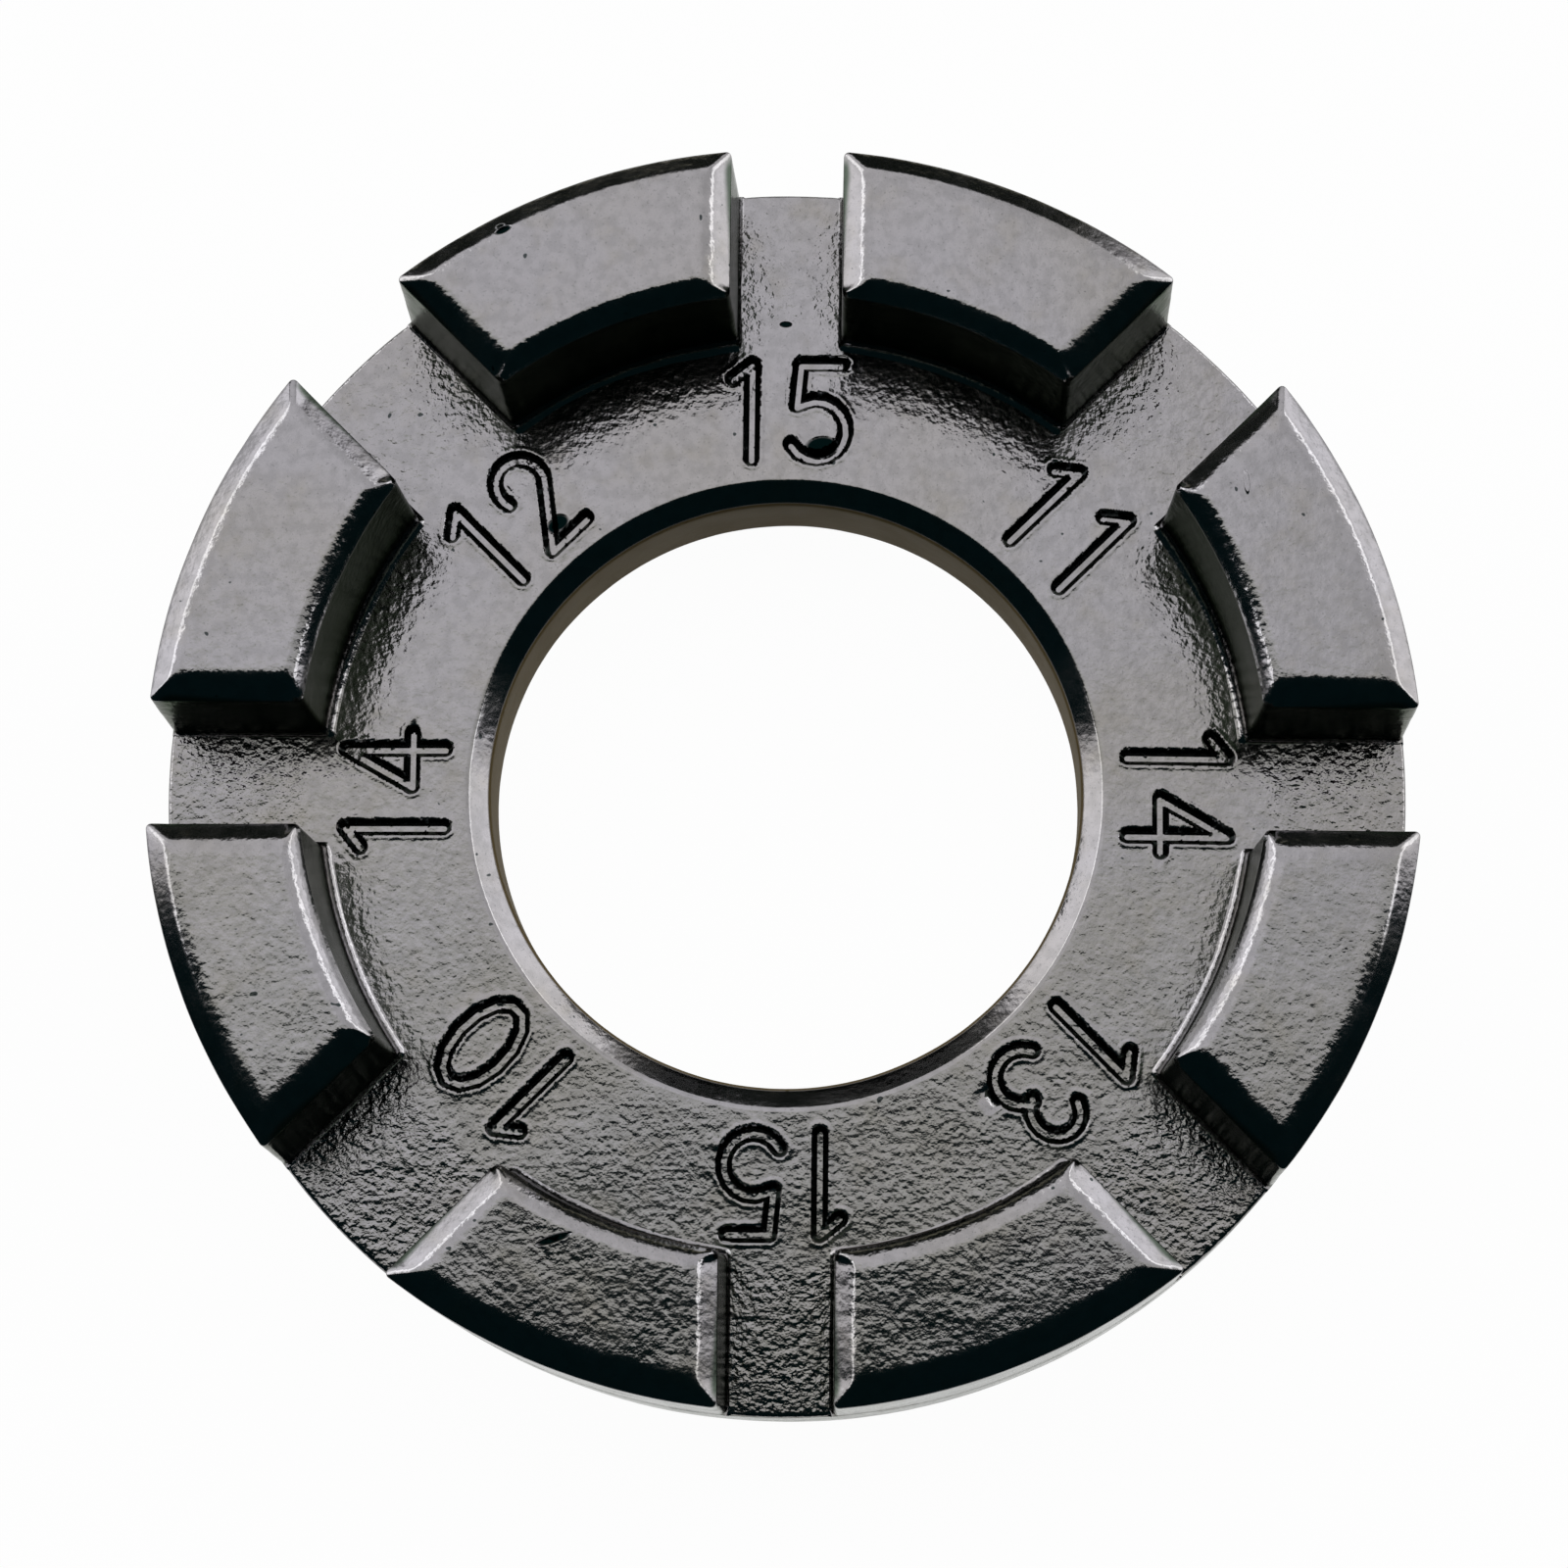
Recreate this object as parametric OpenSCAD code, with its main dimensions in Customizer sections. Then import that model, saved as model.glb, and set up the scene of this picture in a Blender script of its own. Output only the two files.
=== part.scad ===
// Round spoke wrench: one steel casting, a ring to hold with eight jaws standing on its face.
// Two neighbouring jaws leave a notch that grips the flats of one nipple size. The nipple sits
// in the notch, the spoke lies across the ring and leaves by the notch opposite, and the ring
// turns both. The casting is drawn as its ring and its eight jaws, which meet face to face.
// +Z is up out of the jaws, and the origin is the middle of the flat underside.

/* [Ring] */
// Diameter over the rim, at the underside
ring_d = 42; // [36:0.5:50]
// Thickness at the rim, where the notches run out
rim_t = 3.8; // [3:0.1:4]
// Thickness at the finger hole: the face rises to it from the rim
hub_t = 4.2; // [4.1:0.1:5]
// Diameter of the finger hole
hole_d = 20; // [14:0.5:24]
// Width of the bevel round the top of the finger hole
hole_bevel_w = 0.75; // [0.2:0.05:1]
// Depth of the bevel round the top of the finger hole
hole_bevel_h = 0.55; // [0.2:0.05:1.2]
// Bevel on the two edges of the underside
base_bevel = 0.35; // [0.1:0.05:0.8]

/* [Jaws] */
// Height of the jaw tops above the rim's face
jaw_h = 6.3; // [4:0.1:8]
// Depth of a jaw, from the rim in to the foot of its inner wall
jaw_depth = 5.25; // [4:0.25:6.5]
// Width of the bevel round a jaw's top
crown_bevel_w = 0.75; // [0.2:0.05:0.9]
// Height of the bevel round a jaw's top
crown_bevel_h = 0.55; // [0.2:0.05:1]
// Radius of the fillet at the foot of a jaw's inner wall
heel_r = 0.5; // [0.2:0.05:1]
// Radius of the fillets along the floor of a notch
notch_fillet_r = 0.25; // [0.1:0.05:0.6]
// Draft of the notch walls and inner walls, in degrees
wall_draft = 1; // [0.5:0.1:3]
// Draft of the rim, in degrees
rim_draft = 0.7; // [0:0.1:2]

/* [Notches] */
// Floor width of the two notches for size 15 nipples
notch_15_w = 3.55; // [3.2:0.05:3.7]
// Floor width of the two notches for size 14 nipples
notch_14_w = 3.85; // [3.5:0.05:4]
// Floor width of the notch for size 13 nipples
notch_13_w = 4.25; // [3.9:0.05:4.4]
// Floor width of the notch for size 12 nipples
notch_12_w = 4.55; // [4.2:0.05:4.65]
// Floor width of the notch for size 11 nipples
notch_11_w = 4.75; // [4.4:0.05:5.1]
// Floor width of the notch for size 10 nipples
notch_10_w = 5.45; // [5:0.05:5.9]

/* [Hidden] */
$fn = 128;
// How far a cut runs past the solid it cuts
overrun = 1;
// Steps along each fillet
fillet_steps = 6;
cast_colour = [0.42, 0.41, 0.43];

// Floor widths, clockwise from the top notch
notch_w = [notch_15_w, notch_11_w, notch_14_w, notch_13_w,
           notch_15_w, notch_10_w, notch_14_w, notch_12_w];
notch_count = len(notch_w);
pitch = 360 / notch_count;

ring_r = ring_d / 2;
hole_r = hole_d / 2;
jaw_inner_r = ring_r - jaw_depth;
hub_r = hole_r + hole_bevel_w;
rim_r = rim_radius(rim_t);
top_z = rim_t + jaw_h;
edge_z = top_z - crown_bevel_h;
// The face is a shallow cone that falls from the finger hole to the rim
face_slope = atan((hub_t - rim_t) / (rim_r - hub_r));
heel_z = face_height(jaw_inner_r);

// Radius of the drafted rim at height z
function rim_radius(z) = ring_r - z * tan(rim_draft);

// Height of the ring's face at radius r
function face_height(r) = rim_t + (rim_r - r) * tan(face_slope);

// Radius of a jaw's inner wall at height z
function inner_radius(z) = jaw_inner_r + (z - heel_z) * tan(wall_draft);

// Direction of the notch with this number, clockwise from the top
function notch_angle(i) = 90 - pitch * i;

// Points along an arc from angle a to angle b
function arc(centre, r, a, b) =
    [for (k = [0:fillet_steps]) let (t = a + (b - a) * k / fillet_steps)
        centre + r * [cos(t), sin(t)]];

// Half section of the ring, from the axis outwards
function ring_section() = [
    [hole_r, base_bevel], [hole_r + base_bevel, 0],
    [ring_r - base_bevel, 0], [rim_radius(base_bevel), base_bevel],
    [rim_r, rim_t], [hub_r, hub_t], [hole_r, hub_t - hole_bevel_h]
];

// Half section through the middle of a jaw: it stands on the sloping face, leans back by its
// draft, carries a bevel inside and outside, and ends in a fillet at the heel
function jaw_section() =
    let (reach = heel_r / sin((90 - face_slope + wall_draft) / 2),
         lean = 135 - (face_slope + wall_draft) / 2,
         centre = [jaw_inner_r, heel_z] + reach * [cos(lean), sin(lean)])
    concat(
        [[rim_r, rim_t], [rim_radius(edge_z), edge_z],
         [rim_radius(edge_z) - crown_bevel_w, top_z],
         [inner_radius(edge_z) + crown_bevel_w, top_z],
         [inner_radius(edge_z), edge_z]],
        arc(centre, heel_r, 360 - wall_draft, 270 - face_slope)
    );

// Section across a notch, with its floor at height zero: fillets along both sides of the floor
// and walls that open upwards by their draft
function notch_section(w) =
    let (r = notch_fillet_r,
         floor_x = w / 2 - r * tan(45 - wall_draft / 2),
         mouth_z = jaw_h + overrun,
         mouth_x = w / 2 + mouth_z * tan(wall_draft),
         side = concat([[floor_x, -overrun]], arc([floor_x, r], r, 270, 360 - wall_draft),
                       [[mouth_x, mouth_z]]))
    concat(side, [for (k = [len(side) - 1:-1:0]) [-side[k][0], side[k][1]]]);

// Section across the bevels on both sides of a notch's mouth
function mouth_section(w) =
    let (edge_x = w / 2 + (edge_z - rim_t) * tan(wall_draft),
         low_z = edge_z - crown_bevel_h,
         low_x = edge_x - crown_bevel_w,
         high_z = top_z + crown_bevel_h,
         high_x = edge_x + 2 * crown_bevel_w)
    [[-low_x, low_z], [low_x, low_z], [high_x, high_z], [-high_x, high_z]];

// Runs a section along +X, from one distance to another
module along_x(from, to) {
    translate([from, 0, 0]) rotate([90, 0, 90]) linear_extrude(to - from) children();
}

// The space cut out of the jaws by one notch, along its own direction. Its floor follows the
// slope of the ring's face, and its mouth bevels stay level with the jaw tops.
module notch_void(i) {
    rotate([0, 0, notch_angle(i)]) {
        translate([rim_r, 0, rim_t]) rotate([0, face_slope, 0])
            along_x(hole_r - rim_r, overrun) polygon(notch_section(notch_w[i]));
        along_x(hole_r, ring_r + overrun) polygon(mouth_section(notch_w[i]));
    }
}

// The jaw that stands clockwise of notch i: a sector of the crown with a notch cut at each side
module jaw(i) {
    color(cast_colour) difference() {
        rotate([0, 0, notch_angle(i + 1)]) rotate_extrude(angle = pitch) polygon(jaw_section());
        notch_void(i);
        notch_void((i + 1) % notch_count);
    }
}

// The ring that is held: flat underside, finger hole and sloping face
module ring_base() {
    color(cast_colour) rotate_extrude() polygon(ring_section());
}

// Right of the top notch
module jaw_15_11() { jaw(0); }
// Above the right notch
module jaw_11_14() { jaw(1); }
// Below the right notch
module jaw_14_13() { jaw(2); }
// Right of the bottom notch
module jaw_13_15() { jaw(3); }
// Left of the bottom notch
module jaw_15_10() { jaw(4); }
// Below the left notch
module jaw_10_14() { jaw(5); }
// Above the left notch
module jaw_14_12() { jaw(6); }
// Left of the top notch
module jaw_12_15() { jaw(7); }

ring_base();
jaw_15_11();
jaw_11_14();
jaw_14_13();
jaw_13_15();
jaw_15_10();
jaw_10_14();
jaw_14_12();
jaw_12_15();
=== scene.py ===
"""Spoke wrench: one glossy dark-plated casting, a ring with eight jaws, dressed round its frame."""

import bmesh
import bpy
import logging
import math
from dataclasses import dataclass, field
from enum import Enum
from typing import Any, Iterable, Optional, Sequence

from mathutils import Matrix, Vector

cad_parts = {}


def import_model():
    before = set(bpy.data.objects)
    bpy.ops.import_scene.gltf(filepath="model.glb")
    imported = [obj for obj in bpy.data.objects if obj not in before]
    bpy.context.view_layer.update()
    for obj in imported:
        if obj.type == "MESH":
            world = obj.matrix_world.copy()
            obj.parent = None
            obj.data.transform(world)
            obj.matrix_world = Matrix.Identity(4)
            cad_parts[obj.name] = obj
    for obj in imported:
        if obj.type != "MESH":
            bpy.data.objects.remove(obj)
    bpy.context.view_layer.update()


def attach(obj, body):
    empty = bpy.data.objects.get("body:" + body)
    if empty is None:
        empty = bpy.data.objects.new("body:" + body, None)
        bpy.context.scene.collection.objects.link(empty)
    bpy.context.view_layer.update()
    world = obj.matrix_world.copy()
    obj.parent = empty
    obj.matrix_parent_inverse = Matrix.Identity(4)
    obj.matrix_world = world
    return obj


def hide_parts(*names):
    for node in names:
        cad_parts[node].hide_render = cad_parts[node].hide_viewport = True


LOG = logging.getLogger("spoke_wrench")

Pair = tuple[float, float]
Spans = tuple[tuple[Pair, ...], ...]
Triple = tuple[float, float, float]
Rows = tuple[float, float, int]

MM = 0.001
WHITE: Triple = (1.0, 1.0, 1.0)
# Angle from one notch to the next
PITCH = math.tau / 8
# Points closer than this are one point, in metres
MERGE = 1e-7
# Edges folded more than this stay sharp
CREASE = math.radians(38)
# Middle of the values that a noise texture gives
NOISE_MIDDLE = 0.5


class Notch(Enum):
    """The notches, clockwise from the top one: place in the row, floor width in mm, numerals."""

    TOP_15 = (0, 3.55, "15")
    NOTCH_11 = (1, 4.75, "11")
    RIGHT_14 = (2, 3.85, "14")
    NOTCH_13 = (3, 4.25, "13")
    BOTTOM_15 = (4, 3.55, "15")
    NOTCH_10 = (5, 5.45, "10")
    LEFT_14 = (6, 3.85, "14")
    NOTCH_12 = (7, 4.55, "12")

    def __init__(self, place: int, width: float, numerals: str) -> None:
        """Names the three parts of the value."""
        self.place, self.width, self.numerals = place, width, numerals

    @property
    def angle(self) -> float:
        """Direction of the notch from +X, in radians."""
        return math.pi / 2 - PITCH * self.place

    @property
    def next(self) -> "Notch":
        """The next notch clockwise."""
        return list(Notch)[(self.place + 1) % len(Notch)]


class Softbox(Enum):
    """The two soft lamps: centre in metres, width and height in metres, radiance."""

    LEFT = ((-1.00, 0.51, 0.36), (0.84, 0.70), 0.55)
    RIGHT = ((0.93, 0.64, 0.36), (1.18, 0.70), 0.55)


class Field:
    """Wraps a node socket, so that maths on it is written as an expression."""

    def __init__(self, tree: "Tree", socket: bpy.types.NodeSocket) -> None:
        """Keeps the socket with the tree it belongs to."""
        self.tree = tree
        self.socket = socket

    def _math(self, operation: str, *values: Any) -> "Field":
        """Adds one Math node with these values as its inputs."""
        return self.tree.node("ShaderNodeMath", {"operation": operation}, dict(enumerate(values)))

    def __add__(self, other: Any) -> "Field":
        """Sum."""
        return self._math("ADD", self, other)

    def __radd__(self, other: Any) -> "Field":
        """Sum, reflected."""
        return self._math("ADD", other, self)

    def __sub__(self, other: Any) -> "Field":
        """Difference."""
        return self._math("SUBTRACT", self, other)

    def __rsub__(self, other: Any) -> "Field":
        """Difference, reflected."""
        return self._math("SUBTRACT", other, self)

    def __mul__(self, other: Any) -> "Field":
        """Product."""
        return self._math("MULTIPLY", self, other)

    def __rmul__(self, other: Any) -> "Field":
        """Product, reflected."""
        return self._math("MULTIPLY", other, self)

    def __truediv__(self, other: Any) -> "Field":
        """Quotient."""
        return self._math("DIVIDE", self, other)

    def __rtruediv__(self, other: Any) -> "Field":
        """Quotient, reflected."""
        return self._math("DIVIDE", other, self)

    def at_least(self, other: Any) -> "Field":
        """The larger of the two values."""
        return self._math("MAXIMUM", self, other)

    def at_most(self, other: Any) -> "Field":
        """The smaller of the two values."""
        return self._math("MINIMUM", self, other)

    def apply(self, operation: str, *others: Any) -> "Field":
        """Any other Math operation, such as COSINE."""
        return self._math(operation, self, *others)

    def ramp(self, low: Any, high: Any, to_low: float = 0.0, to_high: float = 1.0) -> "Field":
        """Eases from to_low to to_high while the value runs from low to high, and stays there beyond."""
        inputs = {"Value": self, "From Min": low, "From Max": high, "To Min": to_low, "To Max": to_high}
        return self.tree.node("ShaderNodeMapRange", {"interpolation_type": "SMOOTHSTEP"}, inputs)

    def across(self, span: Pair, unit: float = 1.0) -> "Field":
        """Eases from 0 at the span's first end to 1 at its second."""
        return self.ramp(span[0] * unit, span[1] * unit)

    def split(self) -> tuple["Field", "Field", "Field"]:
        """The X, Y and Z of a vector."""
        node = self.tree.raw("ShaderNodeSeparateXYZ", {}, {0: self})
        return tuple(Field(self.tree, s) for s in node.outputs)


class Tree:
    """A node tree that is filled through one method for any node."""

    def __init__(self, tree: bpy.types.NodeTree) -> None:
        """Wraps the tree."""
        self.tree = tree

    def raw(self, kind: str, settings: dict[str, Any], inputs: dict[Any, Any]) -> bpy.types.Node:
        """Adds a node.

        Args:
            kind: the node's type.
            settings: its properties, which are set first.
            inputs: values or links of its sockets, by name or place.

        Returns:
            The node.
        """
        node = self.tree.nodes.new(kind)
        for name, value in settings.items():
            setattr(node, name, value)
        for key, value in inputs.items():
            socket = self._input(node, key)
            if isinstance(value, Field):
                self.tree.links.new(value.socket, socket)
            elif isinstance(value, bpy.types.NodeSocket):
                self.tree.links.new(value, socket)
            else:
                socket.default_value = value
        return node

    def node(self, kind: str, settings: dict[str, Any], inputs: dict[Any, Any],
             out: Optional[str] = None) -> Field:
        """Adds a node and wraps one output.

        Args:
            kind: the node's type.
            settings: its properties.
            inputs: values or links of its sockets.
            out: name of the output, the first enabled one if left out.

        Returns:
            The wrapped output.
        """
        outputs = [s for s in self.raw(kind, settings, inputs).outputs if s.enabled]
        return Field(self, next(s for s in outputs if out in (None, s.name, s.identifier)))

    @staticmethod
    def _input(node: bpy.types.Node, key: Any) -> bpy.types.NodeSocket:
        """The input socket at this place, or the first enabled one of this name."""
        named = (s for s in node.inputs if s.enabled and key in (s.name, s.identifier))
        return node.inputs[key] if isinstance(key, int) else next(named)

    def vector(self, x: Any, y: Any, z: Any) -> Field:
        """A vector from three values."""
        return self.node("ShaderNodeCombineXYZ", {}, {0: x, 1: y, 2: z})

    def vector_maths(self, operation: str, inputs: dict[Any, Any]) -> Field:
        """Adds a Vector Math node."""
        return self.node("ShaderNodeVectorMath", {"operation": operation}, inputs)

    def mix(self, factor: Any, a: Any, b: Any) -> Field:
        """Blends two values."""
        return self.node("ShaderNodeMix", {"data_type": "FLOAT"}, {"Factor": factor, "A": a, "B": b})

    def mix_colour(self, factor: Any, a: Any, b: Any) -> Field:
        """Blends two colours."""
        a, b = ((*c, 1.0) if isinstance(c, tuple) else c for c in (a, b))
        return self.node("ShaderNodeMix", {"data_type": "RGBA"}, {"Factor": factor, "A": a, "B": b})

    def light_path(self, *rays: str) -> list[Field]:
        """These outputs of a Light Path node."""
        path = self.raw("ShaderNodeLightPath", {}, {})
        return [Field(self, path.outputs[ray]) for ray in rays]


class GeometryTree(Tree):
    """A Geometry Nodes tree with named inputs, ending in Realize Instances and Set Material."""

    def __init__(self, name: str, inputs: dict[str, Sequence[str]]) -> None:
        """Starts a tree.

        Args:
            name: name of the tree.
            inputs: labels of the inputs of each type.
        """
        super().__init__(bpy.data.node_groups.new(name, "GeometryNodeTree"))
        face = self.tree.interface
        for kind, labels in {"Geometry": ["Geometry"], **inputs}.items():
            for label in labels:
                face.new_socket(label, in_out="INPUT", socket_type=f"NodeSocket{kind}")
        face.new_socket("Geometry", in_out="OUTPUT", socket_type="NodeSocketGeometry")
        self.group_in = self.tree.nodes.new("NodeGroupInput")
        self.group_out = self.tree.nodes.new("NodeGroupOutput")

    def given(self, label: str) -> Field:
        """The named input."""
        return Field(self, self.group_in.outputs[label])

    def geometry_of(self, label: str) -> Field:
        """The geometry of the object given as an input."""
        return self.node("GeometryNodeObjectInfo", {}, {"Object": self.given(label)}, "Geometry")

    def position(self) -> Field:
        """The place of each point."""
        return self.node("GeometryNodeInputPosition", {}, {})

    def read(self, label: str, name: str, index: Field, kind: str = "FLOAT_VECTOR") -> Field:
        """Reads an attribute of the object given as an input, at the point with this index."""
        value = self.node("GeometryNodeInputNamedAttribute", {"data_type": kind}, {"Name": name})
        return self.node("GeometryNodeSampleIndex", {"data_type": kind, "domain": "POINT"}, {
            "Geometry": self.geometry_of(label), "Value": value, "Index": index})

    def sheet(self, columns: Any, rows: Any) -> tuple[Field, Field]:
        """A flat sheet of points, and the index of each, which counts up one column after another."""
        sheet = self.node("GeometryNodeMeshGrid", {}, {
            "Size X": 1.0, "Size Y": 1.0, "Vertices X": columns, "Vertices Y": rows}, "Mesh")
        return sheet, self.node("GeometryNodeInputIndex", {}, {})

    def settle(self, sheet: Field, r: Field, angle: Field, z: Field) -> Field:
        """Moves the points of a sheet to their places round the axis and merges those that meet."""
        placed = self.node("GeometryNodeSetPosition", {}, {
            "Geometry": sheet,
            "Position": self.vector(r * angle.apply("COSINE"), r * angle.apply("SINE"), z)})
        return self.node("GeometryNodeMergeByDistance", {}, {"Geometry": placed, "Distance": MERGE})

    def shift(self, geometry: Field, offset: Field) -> Field:
        """Moves the points of a geometry."""
        return self.node("GeometryNodeSetPosition", {}, {"Geometry": geometry, "Offset": offset})

    def close(self, geometry: Field) -> None:
        """Ends the tree in Realize Instances and Set Material.

        Args:
            geometry: what the tree has made.
        """
        solid = self.node("GeometryNodeRealizeInstances", {}, {0: geometry})
        done = self.node("GeometryNodeSetMaterial", {}, {
            "Geometry": solid, "Material": self.given("Material")})
        self.tree.links.new(done.socket, self.group_out.inputs[0])

    def run(self, name: str, values: dict[str, Any]) -> bpy.types.Object:
        """Runs the tree and keeps the result as a plain mesh.

        Args:
            name: name of the finished object.
            values: value of each named input.

        Returns:
            A new object with the plain mesh and no modifier.
        """
        start = helper(f"{name}_start", [(0.0, 0.0, 0.0)])
        modifier = start.modifiers.new(self.tree.name, "NODES")
        modifier.node_group = self.tree
        for item in self.tree.interface.items_tree:
            if item.in_out == "INPUT" and item.name in values:
                modifier[item.identifier] = values[item.name]
        graph = bpy.context.evaluated_depsgraph_get()
        mesh = bpy.data.meshes.new_from_object(start.evaluated_get(graph))
        mesh.name = name
        start.modifiers.remove(modifier)
        discard(start)
        return place(name, mesh)


def place(name: str, mesh: bpy.types.Mesh) -> bpy.types.Object:
    """Puts a mesh into the scene.

    Args:
        name: name of the new object.
        mesh: its mesh.

    Returns:
        The object.
    """
    thing = bpy.data.objects.new(name, mesh)
    bpy.context.scene.collection.objects.link(thing)
    return thing


def discard(thing: bpy.types.Object) -> None:
    """Removes a helper's mesh, and the object with it."""
    bpy.data.meshes.remove(thing.data)


def helper(name: str, points: Sequence[Triple], edges: Sequence[tuple[int, int]] = (),
           extras: Optional[dict[str, Sequence[Any]]] = None) -> bpy.types.Object:
    """A helper mesh of points that a Geometry Nodes tree reads by index.

    Args:
        name: name of the helper.
        points: its points.
        edges: its edges, if it has any.
        extras: more values for each point, by attribute name: numbers or triples.

    Returns:
        The helper object.
    """
    mesh = bpy.data.meshes.new(name)
    mesh.from_pydata(list(points), list(edges), [])
    for label, values in (extras or {}).items():
        triples = isinstance(values[0], tuple)
        data = mesh.attributes.new(label, "FLOAT_VECTOR" if triples else "FLOAT", "POINT").data
        for item, value in zip(data, values):
            setattr(item, "vector" if triples else "value", value)
    return place(name, mesh)


def spread(low: float, high: float, count: int) -> list[float]:
    """Evenly spaced values from low to high, both ends kept."""
    return [low + (high - low) * k / (count - 1) for k in range(count)]


def straight(start: Vector, end: Vector, rows: Rows) -> list[Vector]:
    """Points on a straight run, from one share of its length to another."""
    return [start.lerp(end, share) for share in spread(*rows)]


def bend(start: Vector, corner: Vector, end: Vector, steps: int) -> list[Vector]:
    """Points of the quadratic arc from start to end that leans towards a corner."""
    return [start * (1 - s) ** 2 + corner * 2 * s * (1 - s) + end * s ** 2
            for s in spread(0.0, 1.0, steps + 1)]


def within(place: Sequence[Field], spans: Spans, unit: float = 1.0) -> Field:
    """How far a place lies in a region: the product of the spans of each of its coordinates."""
    return math.prod(at.across(span, unit) for at, each in zip(place, spans) for span in each)


def tidy(thing: bpy.types.Object) -> None:
    """Merges doubles, turns the faces of a closed shell outwards and shades it smooth.

    Args:
        thing: the object.
    """
    shell = bmesh.new()
    shell.from_mesh(thing.data)
    bmesh.ops.remove_doubles(shell, verts=shell.verts, dist=MERGE)
    bmesh.ops.dissolve_degenerate(shell, dist=MERGE, edges=shell.edges)
    bmesh.ops.recalc_face_normals(shell, faces=shell.faces)
    for face in shell.faces:
        face.smooth = True
    for edge in shell.edges:
        edge.smooth = len(edge.link_faces) == 2 and edge.calc_face_angle() < CREASE
    shell.to_mesh(thing.data)
    shell.free()


def blank_tree(data: bpy.types.ID) -> Tree:
    """Gives a new material or world an empty node tree.

    Args:
        data: the material or world.

    Returns:
        Its tree.
    """
    data.use_nodes = True
    data.node_tree.nodes.clear()
    return Tree(data.node_tree)


@dataclass(frozen=True)
class Pattern:
    """A fractal noise: width of its features in millimetres, finer layers, and how strong they are.

    The span holds the values at which it starts to show and shows in full, and share how much.
    """

    width: float
    detail: float = 2.0
    rough: float = 0.5
    span: Pair = (0.0, 1.0)
    share: float = 1.0

    def noise(self, t: Tree, where: Field) -> Field:
        """The pattern's values, from 0 to 1, at places in metres."""
        return t.node("ShaderNodeTexNoise", {"noise_dimensions": "3D"}, {
            "Vector": where, "Scale": 1.0 / (self.width * MM), "Detail": self.detail,
            "Roughness": self.rough}, "Fac")

    def shown(self, noise: Field) -> Field:
        """How much the pattern shows where it has these values."""
        return noise.across(self.span) * self.share


@dataclass
class CastBody:
    """Sizes that the ring and its jaws share, in millimetres."""

    ring_r: float = 21.0
    rim_t: float = 3.8
    hub_t: float = 4.2
    hole_r: float = 10.0
    hole_bevel_w: float = 0.75
    hole_bevel_h: float = 0.55
    base_bevel: float = 0.35
    jaw_h: float = 6.3
    jaw_depth: float = 5.25
    crown_bevel_w: float = 0.75
    crown_bevel_h: float = 0.55
    heel_r: float = 0.5
    notch_fillet_r: float = 0.25
    wall_draft: float = math.radians(1.0)
    rim_draft: float = math.radians(0.7)
    wave: Pattern = Pattern(3.2, 1.0)
    wave_height: float = 0.05
    ripple: Pattern = Pattern(0.75)
    ripple_height: float = 0.014

    @property
    def rim_r(self) -> float:
        """Radius of the rim at the height of its face."""
        return self.rim_radius(self.rim_t)

    @property
    def hub_r(self) -> float:
        """Radius at which the face starts, outside the bevel of the finger hole."""
        return self.hole_r + self.hole_bevel_w

    @property
    def heel_at(self) -> float:
        """Radius of the foot of a jaw's inner wall."""
        return self.ring_r - self.jaw_depth

    @property
    def top_z(self) -> float:
        """Height of the jaw tops."""
        return self.rim_t + self.jaw_h

    @property
    def edge_z(self) -> float:
        """Height of the lower edge of a jaw's bevels."""
        return self.top_z - self.crown_bevel_h

    @property
    def slope(self) -> float:
        """Fall of the face for each millimetre outwards."""
        return (self.hub_t - self.rim_t) / (self.rim_r - self.hub_r)

    def rim_radius(self, z: float) -> float:
        """Radius of the drafted rim at height z."""
        return self.ring_r - z * math.tan(self.rim_draft)

    def face_height(self, r: float) -> float:
        """Height of the ring's face at radius r."""
        return self.rim_t + (self.rim_r - r) * self.slope

    def face_over(self, r: Field) -> Field:
        """Height of the ring's face over a radius that is a field, in metres."""
        return self.face_height(0.0) * MM - r * self.slope

    def skin(self, t: GeometryTree, geometry: Field) -> Field:
        """Adds the unevenness of the cast skin.

        Args:
            t: the tree that it becomes part of.
            geometry: the geometry in the tree.

        Returns:
            The geometry with its skin.
        """
        where = t.position()
        wave, ripple = (each.noise(t, where) - NOISE_MIDDLE for each in (self.wave, self.ripple))
        rise = wave * self.wave_height * MM + ripple * self.ripple_height * MM
        normal = t.node("GeometryNodeInputNormal", {}, {})
        return t.shift(geometry, t.vector_maths("SCALE", {"Vector": normal, "Scale": rise}))


class Zone(Enum):
    """Regions of the casting: spans of height, then spans of radius, in millimetres.

    A span goes from where the region starts to where it counts in full. For the sides of the
    digits the height is the depth under the ring's face.
    """

    # The bore wall, where a painted tan reflection is mixed into the colour
    BORE = ((), ((10.12, 10.05),))
    # Inner and notch walls of the jaws, where the colour is painted dark as shade and dark reflection
    WALLS = (((4.35, 4.7), (9.6, 9.45)), ((20.84, 20.3),))
    CROWN_BEVELS = (((9.92, 9.8), (9.3, 9.4)), ())
    HUB_BEVEL = ((), ((10.95, 10.8),))
    NOTCH_FLOORS = (((4.3, 4.15),), ((15.9, 16.6),))
    # Sides of the numerals' grooves, painted near black as shade
    DIGIT_SIDES = (((0.05, 0.14), (0.44, 0.39)), ((10.95, 11.1), (15.7, 15.6)))
    UPPER_PART = (((3.4, 3.5),), ())

    def mask(self, height: Field, radius: Field) -> Field:
        """How far a point of this height and radius, in metres, lies in the region."""
        return within((height, radius), self.value, MM)


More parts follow.
